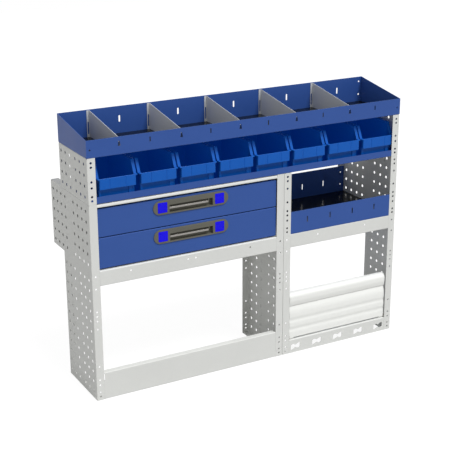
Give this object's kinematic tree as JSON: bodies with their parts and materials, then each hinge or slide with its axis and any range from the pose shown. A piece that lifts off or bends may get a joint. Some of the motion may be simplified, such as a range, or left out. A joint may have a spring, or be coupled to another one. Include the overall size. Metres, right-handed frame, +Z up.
{
  "type": "van shelving unit",
  "caption": "Perforated sheet-steel racking for a van's side wall, with an open top tray, hopper bins, sliding drawers, a deep tray and a tip-out flap.",
  "frame": {"origin": "on the floor, under the middle of the unit's overall width and depth", "axes": "+X to the right seen from the open front, +Y to the rear against the van's wall, +Z up"},
  "size_m": [1.27, 0.355, 0.983],
  "materials": {
    "grey_paint": "satin",
    "blue_paint": "satin",
    "divider_paint": "satin",
    "bin_plastic": "satin",
    "handle_plastic": "matte",
    "cap_plastic": "gloss",
    "rubber_mat": "matte",
    "zinc_steel": "zinc plated",
    "flap_aluminium": "white lacquer"
  },
  "bodies": {
    "rack": {"lower_frame_left": "grey_paint", "lower_frame_mid_left": "grey_paint", "lower_frame_mid_right": "grey_paint", "lower_frame_right": "grey_paint", "upper_frame_left": "grey_paint", "upper_frame_right": "grey_paint", "left_cross_rail": "grey_paint", "right_cross_rail": "grey_paint", "kick_panel": "grey_paint", "kick_rail": "grey_paint", "drawer_cabinet": "grey_paint", "top_tray": "blue_paint", "bin_tray": "blue_paint", "right_tray": "blue_paint", "top_tray_mat": "rubber_mat", "right_tray_mat": "rubber_mat", "top_divider_1": "divider_paint", "top_divider_2": "divider_paint", "top_divider_3": "divider_paint", "top_divider_4": "divider_paint", "top_divider_5": "divider_paint", "flap_bracket_left": "zinc_steel", "flap_pin_left": "zinc_steel", "flap_bracket_right": "zinc_steel", "flap_pin_right": "zinc_steel", "lower_runner_left_outer": "zinc_steel", "lower_runner_right_outer": "zinc_steel", "upper_runner_left_outer": "zinc_steel", "upper_runner_right_outer": "zinc_steel"},
    "lower_drawer": {"lower_drawer_front": "blue_paint", "lower_drawer_box": "grey_paint", "lower_handle": "handle_plastic", "lower_cap_left": "cap_plastic", "lower_cap_right": "cap_plastic", "lower_runner_left_inner": "zinc_steel", "lower_runner_right_inner": "zinc_steel"},
    "lower_runner_mid": {"lower_runner_left_mid": "zinc_steel", "lower_runner_right_mid": "zinc_steel"},
    "lower_lever": {"lower_lever": "zinc_steel"},
    "upper_drawer": {"upper_drawer_front": "blue_paint", "upper_drawer_box": "grey_paint", "upper_handle": "handle_plastic", "upper_cap_left": "cap_plastic", "upper_cap_right": "cap_plastic", "upper_runner_left_inner": "zinc_steel", "upper_runner_right_inner": "zinc_steel"},
    "upper_runner_mid": {"upper_runner_left_mid": "zinc_steel", "upper_runner_right_mid": "zinc_steel"},
    "upper_lever": {"upper_lever": "zinc_steel"},
    "flap": {"flap_panel": "flap_aluminium", "flap_grip_rail": "flap_aluminium"},
    "bin_1": {"bin_1": "bin_plastic"},
    "bin_2": {"bin_2": "bin_plastic"},
    "bin_3": {"bin_3": "bin_plastic"},
    "bin_4": {"bin_4": "bin_plastic"},
    "bin_5": {"bin_5": "bin_plastic"},
    "bin_6": {"bin_6": "bin_plastic"},
    "bin_7": {"bin_7": "bin_plastic"},
    "bin_8": {"bin_8": "bin_plastic"}
  },
  "joints": [
    {"name": "lower_drawer_slide", "type": "slide", "parent": "rack", "child": "lower_drawer", "axis": [0, -1, 0], "range_m": [0, 0.3]},
    {"name": "lower_runner_mid_slide", "type": "slide", "parent": "rack", "child": "lower_runner_mid", "axis": [0, -1, 0], "range_m": [0, 0.15]},
    {"name": "lower_lever_hinge", "type": "hinge", "parent": "lower_drawer", "child": "lower_lever", "pos_m": [-0.2515, -0.1741, 0.5632], "axis": [-1, 0, 0], "range_deg": [0, 25], "stiffness_Nm_per_rad": 0.1},
    {"name": "upper_drawer_slide", "type": "slide", "parent": "rack", "child": "upper_drawer", "axis": [0, -1, 0], "range_m": [0, 0.3]},
    {"name": "upper_runner_mid_slide", "type": "slide", "parent": "rack", "child": "upper_runner_mid", "axis": [0, -1, 0], "range_m": [0, 0.15]},
    {"name": "upper_lever_hinge", "type": "hinge", "parent": "upper_drawer", "child": "upper_lever", "pos_m": [-0.2515, -0.1741, 0.6681], "axis": [-1, 0, 0], "range_deg": [0, 25], "stiffness_Nm_per_rad": 0.1},
    {"name": "flap_hinge", "type": "hinge", "parent": "rack", "child": "flap", "pos_m": [0.38115, -0.169, 0.06], "axis": [1, 0, 0], "range_deg": [0, 90]},
    {"name": "bin_1_lift", "type": "slide", "parent": "rack", "child": "bin_1", "axis": [0, 0, 1], "range_m": [0, 0.026]},
    {"name": "bin_2_lift", "type": "slide", "parent": "rack", "child": "bin_2", "axis": [0, 0, 1], "range_m": [0, 0.026]},
    {"name": "bin_3_lift", "type": "slide", "parent": "rack", "child": "bin_3", "axis": [0, 0, 1], "range_m": [0, 0.026]},
    {"name": "bin_4_lift", "type": "slide", "parent": "rack", "child": "bin_4", "axis": [0, 0, 1], "range_m": [0, 0.026]},
    {"name": "bin_5_lift", "type": "slide", "parent": "rack", "child": "bin_5", "axis": [0, 0, 1], "range_m": [0, 0.026]},
    {"name": "bin_6_lift", "type": "slide", "parent": "rack", "child": "bin_6", "axis": [0, 0, 1], "range_m": [0, 0.026]},
    {"name": "bin_7_lift", "type": "slide", "parent": "rack", "child": "bin_7", "axis": [0, 0, 1], "range_m": [0, 0.026]},
    {"name": "bin_8_lift", "type": "slide", "parent": "rack", "child": "bin_8", "axis": [0, 0, 1], "range_m": [0, 0.026]}
  ],
  "couplings": [
    {"joint": "lower_runner_mid_slide", "follows": "lower_drawer_slide", "ratio": 0.5},
    {"joint": "upper_runner_mid_slide", "follows": "upper_drawer_slide", "ratio": 0.5}
  ]
}
